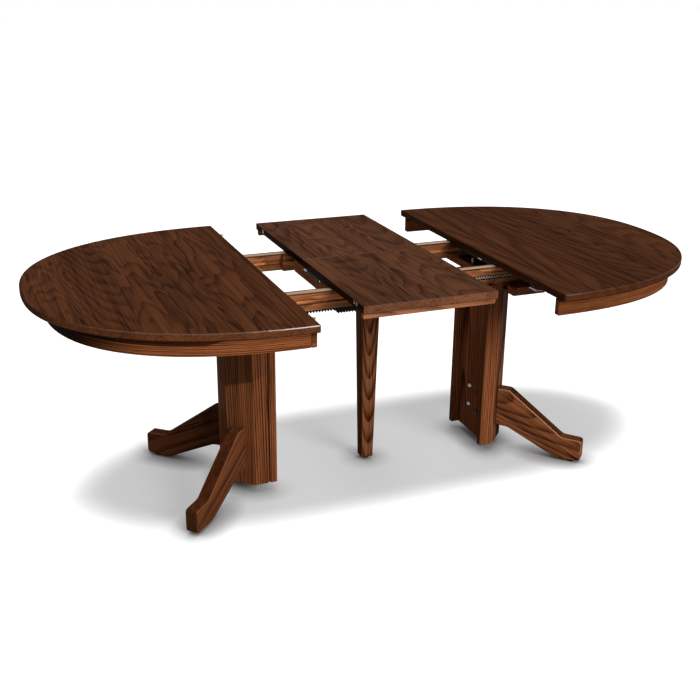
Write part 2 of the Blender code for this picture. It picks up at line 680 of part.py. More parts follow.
def build_carriage():
    build_centre_rail("back", 1, middle_groove)
    rail = build_centre_rail("front", -1, upper_groove)
    reach = AXLE_RADIUS + FIT + LUG_WALL
    lug = box_shape((pinion_x - reach, pinion_x + reach), (FIT - centre_rail_out, -centre_rail_in - FIT),
                    (pinion_z - reach, rail_bottom + reach))
    carve(rail, add_tool("axle_lug", lug, carriage), "UNION")
    bore = rod_shape(AXLE_RADIUS + FIT, (pinion_x, -left_rail_face, pinion_z), (pinion_x, -right_rail_face, pinion_z))
    carve(rail, add_tool("axle_bore", bore, carriage))
    half = BEAM_WIDTH / 2
    beam = add_part("leg_beam", box_shape((-half, half), (-centre_rail_out, centre_rail_out), (beam_bottom, cleat_top)),
                    "slide_wood", carriage)
    ease_edges(beam, BOARD_EASE)
    height = beam_bottom - FIT - GLIDE_HEIGHT - FIT
    leg_shape = bmesh.new()
    bmesh.ops.create_cone(leg_shape, cap_ends=True, segments=4, radius1=CENTRE_LEG_FOOT / math.sqrt(2),
                          radius2=CENTRE_LEG_TOP / math.sqrt(2), depth=height,
                          matrix=standing(GLIDE_HEIGHT + FIT + height / 2) @ Matrix.Rotation(math.pi / 4, 4, "Z"))
    leg = add_part("centre_leg", leg_shape, "stained_base", carriage)
    ease_edges(leg, CENTRE_LEG_EASE, 2)
    ends = [(0, 0, beam_bottom - CENTRE_BOLT_GRIP), (0, 0, cleat_top - RUN)]
    add_part("centre_leg_bolt", rod_shape(CENTRE_BOLT_RADIUS, *ends), "bright_steel", carriage, smooth=True)
    ends = [(0, 0, beam_bottom - CENTRE_BOLT_GRIP - FIT), (0, 0, cleat_top + OVERCUT)]
    hole = add_tool("centre_bolt_hole", rod_shape(CENTRE_BOLT_RADIUS + FIT, *ends), carriage)
    carve(leg, hole)
    carve(beam, hole)
    add_glide("centre_glide", Vector((0, 0, 0)), carriage)


def build_leaf_half(name, facing, end, parent):
    half = LEAF_WIDTH / 2
    seam = LEAF_SHIFT + facing * FOLD_GAP / 2
    panel = add_part(name, box_shape((-half, half), (seam, end), (top_under, TABLE_HEIGHT)), "walnut_top", parent)
    ease_edges(panel, LEAF_EASE)
    edge = half - LEAF_APRON_SIDE
    deep = (end - facing * LEAF_APRON_INSET, end - facing * (LEAF_APRON_INSET + LEAF_APRON_THICKNESS))
    apron = add_part(f"{name}_apron", box_shape((-edge, edge), deep, (rail_top - LEAF_APRON_HEIGHT, rail_top)),
                     "walnut_top", parent)
    ease_edges(apron, LEAF_EASE)
    outside = half - BATTEN_INSET
    inside = outside - BATTEN_THICKNESS
    stop = facing * (RAIL_SPREAD - BATTEN_GAP)
    inner_seam = seam + facing * BATTEN_THICKNESS
    right = [(outside, seam), (outside, stop), (inside, stop), (inside, inner_seam)]
    outline = right + [(-across, deep) for across, deep in reversed(right)]
    frame = add_part(f"{name}_frame", sheet_shape([outline], BATTEN_HEIGHT), "slide_wood", parent,
                     standing(rail_top - BATTEN_HEIGHT))
    ease_edges(frame, LEAF_EASE)
    reach = HINGE_LENGTH / 2
    tall = (board_middle - HINGE_WIDTH / 2, board_middle + HINGE_WIDTH / 2)
    strip = box_shape((-reach, reach), (seam + facing * FIT, seam + facing * (FIT + HINGE_THICKNESS)), tall)
    add_part(f"{name}_hinge", strip, "bright_steel", parent)
    recess = box_shape((-reach - FIT, reach + FIT), (seam - facing * OVERCUT, seam + facing * (2 * FIT + HINGE_THICKNESS)),
                       (tall[0] - FIT, tall[1] + FIT))
    carve(panel, add_tool(f"{name}_hinge_recess", recess, parent))
    return panel


def dowel_hole(edge, inward, deep, depth):
    start = (edge - inward * OVERCUT, deep, board_middle)
    return rod_shape(DOWEL_RADIUS + FIT, start, (edge + inward * depth, deep, board_middle))


def add_dowel(name, edge, inward, deep, parent):
    start = (edge - inward * DOWEL_REACH, deep, board_middle)
    end = (edge + inward * DOWEL_GRIP, deep, board_middle)
    add_part(name, rod_shape(DOWEL_RADIUS, start, end), "pale_dowel", parent, smooth=True)


def add_lock_plate(name, edge, inward, parent):
    near = edge + inward * LOCK_SETBACK
    span = (lock_front - LOCK_LENGTH / 2, lock_front + LOCK_LENGTH / 2)
    plate = box_shape((near, near + inward * LOCK_WIDTH), span, (rail_top - LOCK_THICKNESS, rail_top))
    add_part(name, plate, "black_steel", parent)


def build_hardware(leaf_panel):
    edge = LEAF_WIDTH / 2
    add_dowel("left_front_dowel", -DRAW_OUT, -1, dowel_front, left_half)
    add_dowel("left_back_dowel", -DRAW_OUT, -1, dowel_back, left_half)
    add_dowel("leaf_dowel", edge, -1, dowel_back, carriage)
    holes = [
        dowel_hole(-edge, 1, dowel_back, DOWEL_REACH + FIT),
        dowel_hole(edge, -1, dowel_back, DOWEL_GRIP + FIT),
    ]
    carve(leaf_panel, add_tool("leaf_dowel_holes", group_shape(holes), carriage))
    add_lock_plate("left_lock_plate", -DRAW_OUT, -1, left_half)
    add_lock_plate("leaf_left_lock_plate", -edge, 1, leaf_fold)
    add_lock_plate("leaf_right_lock_plate", edge, -1, leaf_fold)
    add_lock_plate("right_lock_plate", DRAW_OUT, 1, right_half)


for item in list(bpy.data.objects):
    bpy.data.objects.remove(item)

parts = new_collection("extendable_pedestal_table")
cutters = new_collection("cutters")
cutters.hide_render = True

carriage = new_empty("carriage", (0, 0, 0))
left_half = new_empty("left_half", (-DRAW_OUT, 0, rail_top))
right_half = new_empty("right_half", (DRAW_OUT, 0, rail_top))
pinion_spin = new_empty("pinion_spin", (pinion_x, -(centre_rail_in + centre_rail_out) / 2, pinion_z))
leaf_fold = new_empty("leaf_fold", (0, LEAF_SHIFT, TABLE_HEIGHT + FOLD_RISE))

for half_name, half_side, half_empty in (("left", -1, left_half), ("right", 1, right_half)):
    build_top(half_name, half_side, half_empty)
    build_apron(half_name, half_side, half_empty)
    half_cleat = build_column(half_name, half_side, half_empty)

# The right cleat is let out so the gears can pass over it when the table is pushed shut.
gear_way = box_shape(
    (cleat_start - OVERCUT, cleat_start + CLEAT_LENGTH + OVERCUT),
    (-(left_rail_face + rebate_depth + RUN), -(right_rail_face - rebate_depth - RUN)),
    (left_rack_z - rack_half - 2 * RUN, cleat_top + OVERCUT),
)
carve(half_cleat, add_tool("gear_way", gear_way, right_half))

build_end_blocks()
build_column_strips()
build_rails("left", (-(DRAW_OUT + RAIL_TAIL), pinion_x + rail_overrun), left_rail_face, 1, left_half)
build_rails("right", (pinion_x - rail_overrun, DRAW_OUT + RAIL_TAIL), right_rail_face, -1, right_half)
build_racks()
build_pinion()
build_carriage()
back_panel = build_leaf_half("leaf_back", 1, leaf_back_end, carriage)
build_leaf_half("leaf_front", -1, leaf_front_end, leaf_fold)
build_hardware(back_panel)
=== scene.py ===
import math

import bmesh
import bpy
from mathutils import Matrix, Vector


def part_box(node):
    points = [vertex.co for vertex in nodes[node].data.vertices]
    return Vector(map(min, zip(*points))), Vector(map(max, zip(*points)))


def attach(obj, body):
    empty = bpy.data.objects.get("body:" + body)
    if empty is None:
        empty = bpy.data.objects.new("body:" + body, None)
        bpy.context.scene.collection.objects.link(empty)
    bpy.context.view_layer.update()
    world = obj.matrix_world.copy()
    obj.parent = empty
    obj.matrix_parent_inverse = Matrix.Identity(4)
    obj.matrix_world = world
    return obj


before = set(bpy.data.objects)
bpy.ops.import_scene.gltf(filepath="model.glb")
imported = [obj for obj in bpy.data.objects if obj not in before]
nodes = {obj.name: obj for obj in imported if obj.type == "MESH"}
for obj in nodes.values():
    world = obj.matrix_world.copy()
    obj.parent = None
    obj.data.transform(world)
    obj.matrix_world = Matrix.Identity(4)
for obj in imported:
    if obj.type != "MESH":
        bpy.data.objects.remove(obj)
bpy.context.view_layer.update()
print("frame loaded:", len(nodes), "nodes")


def feed(tree, socket, value):
    if isinstance(value, bpy.types.NodeSocket):
        tree.links.new(value, socket)
    else:
        socket.default_value = value


def calc(tree, operation, *inputs):
    node = tree.nodes.new("ShaderNodeMath")
    node.operation = operation
    for socket, value in zip(node.inputs, inputs):
        feed(tree, socket, value)
    return node.outputs[0]


def times(tree, first, *others):
    for other in others:
        first = calc(tree, "MULTIPLY", first, other)
    return first


def distance(tree, first, second):
    return calc(tree, "ABSOLUTE", calc(tree, "SUBTRACT", first, second))


def between(tree, factor, low, high):
    return calc(tree, "MULTIPLY_ADD", factor, high - low, low)


def vector(tree, *parts):
    node = tree.nodes.new("ShaderNodeCombineXYZ")
    for socket, value in zip(node.inputs, parts):
        feed(tree, socket, value)
    return node.outputs[0]


def split(tree, value):
    node = tree.nodes.new("ShaderNodeSeparateXYZ")
    tree.links.new(value, node.inputs[0])
    return node.outputs


def objectPlace(tree):
    return split(tree, tree.nodes.new("ShaderNodeTexCoord").outputs["Object"])


def facing(tree):
    return split(tree, tree.nodes.new("ShaderNodeNewGeometry").outputs["Normal"])


def noise(tree, place, detail):
    node = tree.nodes.new("ShaderNodeTexNoise")
    node.inputs["Scale"].default_value = 1
    node.inputs["Detail"].default_value = detail
    tree.links.new(place, node.inputs["Vector"])
    return node.outputs["Fac"]


def step(tree, value, low, high):
    node = tree.nodes.new("ShaderNodeMapRange")
    node.interpolation_type = "SMOOTHSTEP"
    node.inputs["From Min"].default_value = low
    node.inputs["From Max"].default_value = high
    tree.links.new(value, node.inputs["Value"])
    return node.outputs["Result"]


def blendColour(tree, kind, factor, first, second):
    node = tree.nodes.new("ShaderNodeMix")
    node.data_type = "RGBA"
    node.blend_type = kind
    feed(tree, node.inputs[0], factor)
    feed(tree, node.inputs[6], first)  # 6, 7 and output 2 are the colour sockets
    feed(tree, node.inputs[7], second)
    return node.outputs[2]


def darken(tree, colour, mask, tint):
    return blendColour(tree, "MULTIPLY", mask, colour, (*tint, 1))


def newGroup(name, inputs, outputs):
    tree = bpy.data.node_groups.new(name, "ShaderNodeTree")
    for direction, sockets in (("INPUT", inputs), ("OUTPUT", outputs)):
        for kind, labels in sockets:
            for label in labels:
                tree.interface.new_socket(label, in_out=direction, socket_type="NodeSocket" + kind)
    return tree, tree.nodes.new("NodeGroupInput").outputs, tree.nodes.new("NodeGroupOutput").inputs


def newMaterial(name):
    material = bpy.data.materials.new(name)
    material.use_nodes = True
    tree = material.node_tree
    return material, tree, tree.nodes["Principled BSDF"]


def addBump(tree, shader, height, strength, depth):
    bump = tree.nodes.new("ShaderNodeBump")
    bump.inputs["Strength"].default_value = strength
    bump.inputs["Distance"].default_value = depth
    tree.links.new(height, bump.inputs["Height"])
    tree.links.new(bump.outputs["Normal"], shader.inputs["Normal"])


# The figure that all woods share: noises per metre, ring lines and how strongly each shows
grainFigure = {
    "slide": 3.0,  # metres along the log that a board may come from
    "wander": {"across": 11, "along": 2.2, "detail": 1.5},
    "wildness": (0.15, 1.65),
    "heartDepth": (0.015, 0.065),
    "heartAside": 1.2,  # board widths
    "lateWood": (0.30, 0.92),  # where in a ring it begins and is darkest
    "streak": {"across": 210, "along": 2.4, "detail": 4, "shift": 31, "range": (0.34, 0.66), "weight": 0.46},
    "cloud": {"across": 22, "along": 1.1, "detail": 2, "shift": 23, "range": (0.25, 0.75), "weight": 0.34},
    "pores": {"across": 520, "along": 13, "detail": 2, "range": (0.50, 0.62), "tint": (0.25, 0.21, 0.19)},
    "poreShare": (0.25, 1.0),  # in early and late wood
    "tone": -0.06,
    "boardShade": (0.84, 1.16),
    "film": (1.0, 0.4),  # lacquer on the wood and in its pores
    "roughness": (0.40, 0.55),
    "poreRoughness": 0.15,
    "streakHeight": 0.3,
}
# Where a face counts as edge, split or eased corner; here and below a pair is the two ends of a soft step
topEdge = {"upright": (0.25, 0.05), "split": (0.90, 0.98), "splitPaintedShade": -1.5,
           "eased": ((0.02, 0.12), (0.98, 0.85)), "front": (-0.45, -0.85), "upward": (0.0, 0.1)}
woodSettings = ("Board", "Ring", "Figure", "Lean", "Mark", "Open", "Side")


def boardNoise(tree, place, marks, sideShift=0.0, endShift=0.0):
    across, along, deep = place
    across = calc(tree, "MULTIPLY_ADD", across, marks["across"], sideShift)
    along = calc(tree, "MULTIPLY_ADD", along, marks["along"], endShift)
    return noise(tree, vector(tree, across, along, times(tree, deep, marks["across"])), marks["detail"])


def makeWoodGroup():
    # The vector runs across the board, along the grain and into the board, in metres
    tree, given, result = newGroup(
        "woodFigure",
        (("Vector", ("Vector",)), ("Float", (*woodSettings, "Seed", "Polish", "Edge")),
         ("Color", ("Light", "Dark"))),
        (("Color", ("Color",)), ("Float", ("Roughness", "Coat", "Height"))))

    # Boards, each with its own dice
    across, along, deep = split(tree, given["Vector"])
    boards = calc(tree, "ADD", calc(tree, "DIVIDE", across, given["Board"]), given["Seed"])
    index = calc(tree, "FLOOR", boards)
    within = times(tree, calc(tree, "SUBTRACT", calc(tree, "FRACT", boards), 0.5), given["Board"])
    dice = tree.nodes.new("ShaderNodeTexWhiteNoise")
    dice.noise_dimensions = "1D"
    feed(tree, dice.inputs["W"], calc(tree, "ADD", index, given["Seed"]))
    first, second, third = split(tree, dice.outputs["Color"])
    along = calc(tree, "MULTIPLY_ADD", first, grainFigure["slide"], along)
    place = (within, along, deep)

    # Growth rings round a heart that runs a little askew below the board
    wander = boardNoise(tree, place, grainFigure["wander"], endShift=index)
    wildness = between(tree, times(tree, third, third), *grainFigure["wildness"])
    wildness = times(tree, given["Figure"], wildness)
    wander = times(tree, calc(tree, "SUBTRACT", wander, 0.5), wildness)
    lean = times(tree, calc(tree, "SUBTRACT", second, 0.5), given["Lean"])
    heart = calc(tree, "MULTIPLY_ADD", along, lean, between(tree, third, *grainFigure["heartDepth"]))
    heart = calc(tree, "ADD", calc(tree, "ADD", heart, wander), deep)
    reach = times(tree, given["Board"], grainFigure["heartAside"])
    aside = calc(tree, "MULTIPLY_ADD", calc(tree, "SUBTRACT", first, 0.5), reach, within)
    aside = calc(tree, "ADD", aside, wander)
    radius = calc(tree, "SQRT", calc(tree, "ADD", times(tree, heart, heart), times(tree, aside, aside)))
    ring = calc(tree, "FRACT", calc(tree, "DIVIDE", radius, given["Ring"]))
    begin, darkest = grainFigure["lateWood"]
    late = times(tree, step(tree, ring, begin, darkest), step(tree, ring, 1.0, darkest))

    # Streaks, broad clouds and the open pores, which crowd in the dark part of each ring
    fine, broad, holes = grainFigure["streak"], grainFigure["cloud"], grainFigure["pores"]
    streak = boardNoise(tree, place, fine, sideShift=times(tree, first, fine["shift"]))
    cloud = boardNoise(tree, place, broad, sideShift=times(tree, third, broad["shift"]))
    pores = step(tree, boardNoise(tree, place, holes), *holes["range"])
    pores = times(tree, pores, between(tree, late, *grainFigure["poreShare"]))
    tone = calc(tree, "MULTIPLY_ADD", late, given["Mark"], grainFigure["tone"])
    for marks, settings in ((streak, fine), (cloud, broad)):
        tone = calc(tree, "MULTIPLY_ADD", step(tree, marks, *settings["range"]), settings["weight"], tone)
    clamp = tree.nodes.new("ShaderNodeClamp")
    tree.links.new(tone, clamp.inputs["Value"])
    colour = blendColour(tree, "MIX", clamp.outputs[0], given["Light"], given["Dark"])
    shade = between(tree, second, *grainFigure["boardShade"])
    colour = blendColour(tree, "MULTIPLY", 1.0, colour, vector(tree, shade, shade, shade))
    colour = darken(tree, colour, times(tree, pores, given["Open"]), holes["tint"])

    # Painted light and shade: the round edge is lightened and the straight split edge darkened, as light and
    # shade fall on them
    turn, face, rise = facing(tree)
    level = times(tree, rise, rise)
    straight = step(tree, calc(tree, "ABSOLUTE", turn), *topEdge["split"])
    gain = calc(tree, "MULTIPLY_ADD", straight, topEdge["splitPaintedShade"], step(tree, level, *topEdge["upright"]))
    paintedEdgeLight = calc(tree, "MULTIPLY_ADD", gain, calc(tree, "SUBTRACT", given["Side"], 1.0), 1.0)
    colour = blendColour(tree, "MULTIPLY", 1.0, colour, vector(tree, paintedEdgeLight, paintedEdgeLight, paintedEdgeLight))
    tree.links.new(colour, result["Color"])

    # Lacquer shines on the eased front corner
    turned, flat = topEdge["eased"]
    eased = times(tree, step(tree, level, *turned), step(tree, level, *flat))
    eased = times(tree, eased, step(tree, face, *topEdge["front"]), step(tree, rise, *topEdge["upward"]))
    film = times(tree, given["Polish"], between(tree, pores, *grainFigure["film"]))
    feed(tree, result["Coat"], calc(tree, "MULTIPLY_ADD", eased, given["Edge"], film))
    rough = between(tree, streak, *grainFigure["roughness"])
    feed(tree, result["Roughness"], calc(tree, "MULTIPLY_ADD", pores, grainFigure["poreRoughness"], rough))
    raised = times(tree, streak, grainFigure["streakHeight"])
    feed(tree, result["Height"], calc(tree, "SUBTRACT", raised, pores))
    return tree


woodGroup = makeWoodGroup()

# How the grain runs: the aprons bend round the oval's centres, the legs slope down on a diagonal
apronBend = {"centre": 0.399, "radius": 0.6}
uprightDepth = 0.1  # share of the depth that an upright board's rings follow
diagonal = 0.707
legSlope = {"along": 0.89, "down": 0.45}


def grainVector(tree, grain):
    across, deep, up = objectPlace(tree)
    if grain == "depth":
        return vector(tree, across, deep, up)
    if grain == "length":
        return vector(tree, up, across, deep)
    if grain == "upright":
        inside = times(tree, calc(tree, "ADD", across, deep), uprightDepth)
        return vector(tree, calc(tree, "SUBTRACT", across, deep), up, inside)
    if grain == "round":
        middle = calc(tree, "SUBTRACT", calc(tree, "ABSOLUTE", across), apronBend["centre"])
        turn = calc(tree, "ARCTAN2", deep, middle)
        return vector(tree, up, times(tree, turn, apronBend["radius"]), 0.0)
    # A leg: out from the column on a diagonal and down its slope
    across, deep = calc(tree, "ABSOLUTE", across), calc(tree, "ABSOLUTE", deep)
    out = times(tree, calc(tree, "ADD", across, deep), diagonal)
    aside = times(tree, calc(tree, "SUBTRACT", across, deep), diagonal)
    down = calc(tree, "MULTIPLY_ADD", up, -legSlope["down"], times(tree, out, legSlope["along"]))
    rise = calc(tree, "MULTIPLY_ADD", up, legSlope["along"], times(tree, out, legSlope["down"]))
    return vector(tree, rise, down, aside)


bandSoft = 0.0003  # half the soft rim of a band, in metres


def tintBand(tree, colour, place, band):
    away = distance(tree, place, band["middle"])
    inside = step(tree, away, band["half"] + bandSoft, band["half"] - bandSoft)
    colour = darken(tree, colour, inside, band["tint"])
    # A band's lines are painted shadow lines along its two edges
    if "line" in band:
        off = distance(tree, away, band["half"])
        paintedShadowLine = step(tree, off, band["line"] + bandSoft, band["line"] - bandSoft)
        colour = darken(tree, colour, paintedShadowLine, band["lineTint"])
    return colour


# Painted shade, and on the legs painted highlight and real end-grain stain: each function takes the colour so
# far and gives it back darker or lighter in places
legShade = {"toe": (0.90, 1.30), "toeTint": (0.62, 0.60, 0.58), "upward": (0.56, 0.70),
            "sloped": (0.97, 0.88), "arris": ((0.45, 0.60), (0.92, 0.80)), "arrisRise": (0.15, 0.35)}


def shadeLeg(tree, colour, wood):
    # End grain drinks the stain, so the toe is darker than the sides; painted shade darkens the upward and
    # sloped faces, and a painted highlight lightens the eased arrises
    across, deep, up = objectPlace(tree)
    turn, face, rise = facing(tree)
    endways, hand = calc(tree, "SIGN", across), calc(tree, "SIGN", deep)
    outward = calc(tree, "MULTIPLY_ADD", face, hand, times(tree, turn, endways))
    colour = darken(tree, colour, step(tree, outward, *legShade["toe"]), legShade["toeTint"])
    upward = step(tree, rise, *legShade["upward"])
    sloped = times(tree, upward, step(tree, rise, *legShade["sloped"]))
    colour = darken(tree, colour, upward, wood["crown"])
    colour = darken(tree, colour, sloped, wood["slope"])
    sideways = calc(tree, "SUBTRACT", times(tree, turn, hand), times(tree, face, endways))
    sideways = calc(tree, "ABSOLUTE", times(tree, sideways, diagonal))
    begin, end = legShade["arris"]
    paintedArrisHighlight = times(tree, step(tree, sideways, *begin), step(tree, sideways, *end))
    paintedArrisHighlight = times(tree, paintedArrisHighlight, step(tree, rise, *legShade["arrisRise"]))
    return blendColour(tree, "MIX", paintedArrisHighlight, colour, (*wood["arris"], 1))


overhangPaintedShadow = {"drop": 0.0242, "bend": -0.72, "climb": 0.25, "soft": 0.003, "front": (0.20, 0.05),
            "tint": (0.20, 0.17, 0.15), "end": (-0.86, -1.06), "endTint": (0.05, 0.045, 0.042)}


def paintOverhangShadow(tree, colour, wood):
    # Painted shadow under the left overhang, and painted shade towards the rounded end
    across, deep, up = objectPlace(tree)
    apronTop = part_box("left_apron")[1][2]
    limit = times(tree, calc(tree, "SUBTRACT", across, overhangPaintedShadow["bend"]), overhangPaintedShadow["climb"])
    limit = calc(tree, "ADD", calc(tree, "MAXIMUM", limit, 0.0), apronTop - overhangPaintedShadow["drop"])
    paintedShadeMask = step(tree, calc(tree, "SUBTRACT", up, limit), -overhangPaintedShadow["soft"], overhangPaintedShadow["soft"])
    paintedShadeMask = times(tree, paintedShadeMask, step(tree, deep, *overhangPaintedShadow["front"]))
    colour = darken(tree, colour, paintedShadeMask, overhangPaintedShadow["tint"])
    return darken(tree, colour, step(tree, across, *overhangPaintedShadow["end"]), overhangPaintedShadow["endTint"])


leftColumnPaintedShadow = {"drop": 0.22147, "climb": 0.42, "soft": 0.006, "tint": (0.73, 0.75, 0.79),
            "corner": ((-0.30, -0.55), (-0.96, -0.88)), "cornerTint": (0.53, 0.56, 0.50)}


def paintLeftColumnShadow(tree, colour, wood):
    # Painted shadow of the top: the upper part is darker, most of all on the corner boards
    across, deep, up = objectPlace(tree)
    turn = facing(tree)[0]
    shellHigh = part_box("left_column_shell")[1]
    limit = calc(tree, "SUBTRACT", across, shellHigh[0])
    limit = calc(tree, "MULTIPLY_ADD", limit, leftColumnPaintedShadow["climb"], shellHigh[2] - leftColumnPaintedShadow["drop"])
    paintedShadeMask = step(tree, calc(tree, "SUBTRACT", up, limit), -leftColumnPaintedShadow["soft"], leftColumnPaintedShadow["soft"])
    begin, end = leftColumnPaintedShadow["corner"]
    corner = times(tree, paintedShadeMask, step(tree, turn, *begin), step(tree, turn, *end))
    colour = darken(tree, colour, paintedShadeMask, leftColumnPaintedShadow["tint"])
    return darken(tree, colour, corner, leftColumnPaintedShadow["cornerTint"])


rightColumnPaintedShade = {"outer": (0.35, 0.60), "outerTint": (0.52, 0.54, 0.58),
              "inner": (-0.70, -0.90), "innerTint": (0.66, 0.66, 0.66)}


def paintRightColumnShade(tree, colour, wood):
    # Painted shade: the boards that face outwards and inwards are darker than the front board
    turn = facing(tree)[0]
    for side in ("outer", "inner"):
        colour = darken(tree, colour, step(tree, turn, *rightColumnPaintedShade[side]), rightColumnPaintedShade[side + "Tint"])
    return colour


lacquer = {"roughness": 0.22, "gloss": 0.0, "bump": 0.25, "bumpDepth": 0.0004}


def woodMaterial(name, wood, grain, seed, polish=0.02, edge=0.0, bands=(), shade=None):
    material, tree, shader = newMaterial(name)
    figure = tree.nodes.new("ShaderNodeGroup")
    figure.node_tree = woodGroup
    place = grainVector(tree, grain)
    if "start" in wood:
        across, along, deep = split(tree, place)
        place = vector(tree, across, calc(tree, "ADD", along, wood["start"]), deep)
    tree.links.new(place, figure.inputs["Vector"])
    for setting in woodSettings:
        figure.inputs[setting].default_value = wood[setting.lower()]
    for setting, value in (("Seed", seed), ("Polish", polish), ("Edge", edge)):
        figure.inputs[setting].default_value = value
    figure.inputs["Light"].default_value = (*wood["light"], 1)
    figure.inputs["Dark"].default_value = (*wood["dark"], 1)
    colour = figure.outputs["Color"]
    for axis, band in bands:
        colour = tintBand(tree, colour, objectPlace(tree)[axis], band)
    if shade:
        colour = shade(tree, colour, wood)
    tree.links.new(colour, shader.inputs["Base Color"])
    tree.links.new(figure.outputs["Roughness"], shader.inputs["Roughness"])
    tree.links.new(figure.outputs["Coat"], shader.inputs["Coat Weight"])
    shader.inputs["Coat Roughness"].default_value = lacquer["roughness"]
    shader.inputs["Specular IOR Level"].default_value = lacquer["gloss"]
    addBump(tree, shader, figure.outputs["Height"], lacquer["bump"], lacquer["bumpDepth"])
    return material


surfaceWear = {"detail": 4, "range": (0.3, 0.7), "shade": (0.75, 1.25), "roughness": 0.2,
               "bump": 0.2, "bumpDepth": 0.0003}


def makeWearGroup():
    # Small wear and moulding marks for metal and nylon
    tree, given, result = newGroup(
        "surfaceWear",
        (("Color", ("Color",)), ("Float", ("Roughness", "Grain"))),
        (("Color", ("Color",)), ("Float", ("Roughness", "Height"))))
    place = tree.nodes.new("ShaderNodeVectorMath")
    place.operation = "SCALE"
    tree.links.new(tree.nodes.new("ShaderNodeTexCoord").outputs["Object"], place.inputs[0])
    tree.links.new(given["Grain"], place.inputs["Scale"])
    marks = noise(tree, place.outputs[0], surfaceWear["detail"])
    shade = between(tree, step(tree, marks, *surfaceWear["range"]), *surfaceWear["shade"])
    colour = blendColour(tree, "MULTIPLY", 1.0, given["Color"], vector(tree, shade, shade, shade))
    tree.links.new(colour, result["Color"])
    smooth = calc(tree, "SUBTRACT", given["Roughness"], surfaceWear["roughness"] / 2)
    feed(tree, result["Roughness"], calc(tree, "MULTIPLY_ADD", marks, surfaceWear["roughness"], smooth))
    tree.links.new(marks, result["Height"])
    return tree


wearGroup = makeWearGroup()


def hardMaterial(name, colour, roughness, grain, gloss, metallic=0.0):
    material, tree, shader = newMaterial(name)
    wear = tree.nodes.new("ShaderNodeGroup")
    wear.node_tree = wearGroup
    wear.inputs["Color"].default_value = (*colour, 1)
    wear.inputs["Roughness"].default_value = roughness
    wear.inputs["Grain"].default_value = grain
    tree.links.new(wear.outputs["Color"], shader.inputs["Base Color"])
    tree.links.new(wear.outputs["Roughness"], shader.inputs["Roughness"])
    shader.inputs["Metallic"].default_value = metallic
    shader.inputs["Specular IOR Level"].default_value = gloss
    addBump(tree, shader, wear.outputs["Height"], surfaceWear["bump"], surfaceWear["bumpDepth"])
    return material


def rackMaterial(name, colour, lines):
    # The right rack is cut on both edges; a pale zigzag between its teeth is a painted highlight on them
    material = hardMaterial(name, colour, roughness=0.55, grain=400, gloss=0.05)
    tree = material.node_tree
    base = tree.nodes["Principled BSDF"].inputs["Base Color"]
    along, deep, up = objectPlace(tree)
    wave = distance(tree, calc(tree, "FRACT", calc(tree, "DIVIDE", along, lines["pitch"])), 0.5)
    swing = lines["swing"]
    wave = calc(tree, "MULTIPLY_ADD", wave, 4 * swing, lines["middle"] - swing)
    gap = step(tree, distance(tree, up, wave), *lines["edge"])
    tree.links.new(blendColour(tree, "MIX", gap, base.links[0].from_socket, (*lines["colour"], 1)), base)
    return material


# Stain colours of each wood, on the light and dark side of its figure. Boards and rings are widths in metres,
# figure is how far the rings stray, lean the heart's slope; mark and open weigh rings and pores, and side
# is painted light on the round edge.
walnut = {"light": (0.099, 0.0324, 0.0113), "dark": (0.0185, 0.0058, 0.0025), "board": 0.130, "ring": 0.0035,
          "figure": 0.030, "lean": 0.07, "mark": 0.32, "open": 0.50, "side": 1.8}
rightWalnut = {**walnut, "light": (0.090, 0.0294, 0.0102), "mark": 0.30, "side": 1.20}
leafWalnut = {**walnut, "light": (0.118, 0.0445, 0.0205), "dark": (0.024, 0.0085, 0.0046), "board": 0.115,
              "mark": 0.29, "side": 2.0}
baseWood = {"light": (0.330, 0.108, 0.0400), "dark": (0.042, 0.0115, 0.0040), "board": 0.240, "ring": 0.0070,
            "figure": 0.034, "lean": 0.22, "mark": 0.56, "open": 0.85, "side": 1.0}
# On the legs, crown and slope are painted shade on the upper faces, and arris is a painted highlight on the
# eased edges
leftLegWood = {**baseWood, "light": (0.176, 0.0575, 0.0214), "dark": (0.040, 0.0110, 0.0040), "mark": 0.36,
               "arris": (0.165, 0.062, 0.0270), "crown": (1.0, 1.0, 1.0), "slope": (0.76, 0.67, 0.60)}
rightLegWood = {**baseWood, "light": (0.420, 0.139, 0.0510), "ring": 0.0052, "lean": 0.160, "figure": 0.050,
                "mark": 0.42, "start": -2.13, "arris": (0.40, 0.20, 0.115), "crown": (0.60, 0.56, 0.52),
                "slope": (0.40, 0.36, 0.33)}
centreLegWood = {**baseWood, "light": (0.300, 0.106, 0.0440), "board": 0.200, "ring": 0.0075, "lean": 0.177,
                 "start": -2.026}
leftApronWood = {"light": (0.450, 0.144, 0.0486), "dark": (0.070, 0.019, 0.0060), "board": 0.240,
                 "ring": 0.0052, "figure": 0.010, "lean": 0.04, "mark": 0.46, "open": 0.85, "side": 1.0}
rightApronWood = {**leftApronWood, "light": (0.225, 0.072, 0.0247)}
slideWood = {"light": (0.540, 0.205, 0.086), "dark": (0.130, 0.041, 0.016), "board": 0.060, "ring": 0.0060,
             "figure": 0.012, "lean": 0.10, "mark": 0.40, "open": 0.60, "side": 1.0}
# A darker copy of the slide wood for the far right rail: painted shade from the leaf and top over it
farRailPaintedShadeWood = {**slideWood, "light": (0.270, 0.1025, 0.043), "dark": (0.090, 0.0285, 0.0111)}
# The leaf's strip is paler than the slides: partly its own wood and partly painted light
leafStripWood = {**slideWood, "light": (0.540, 0.211, 0.0975), "dark": (0.220, 0.076, 0.0335)}
paleWood = {"light": (0.560, 0.420, 0.290), "dark": (0.330, 0.220, 0.135), "board": 0.500, "ring": 0.0060,
            "figure": 0.010, "lean": 0.10, "mark": 0.40, "open": 0.70, "side": 1.0}

# Bands of tint at a height or depth that the frame gives
railLow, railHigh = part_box("left_front_rail")
rackLow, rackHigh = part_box("right_rack")
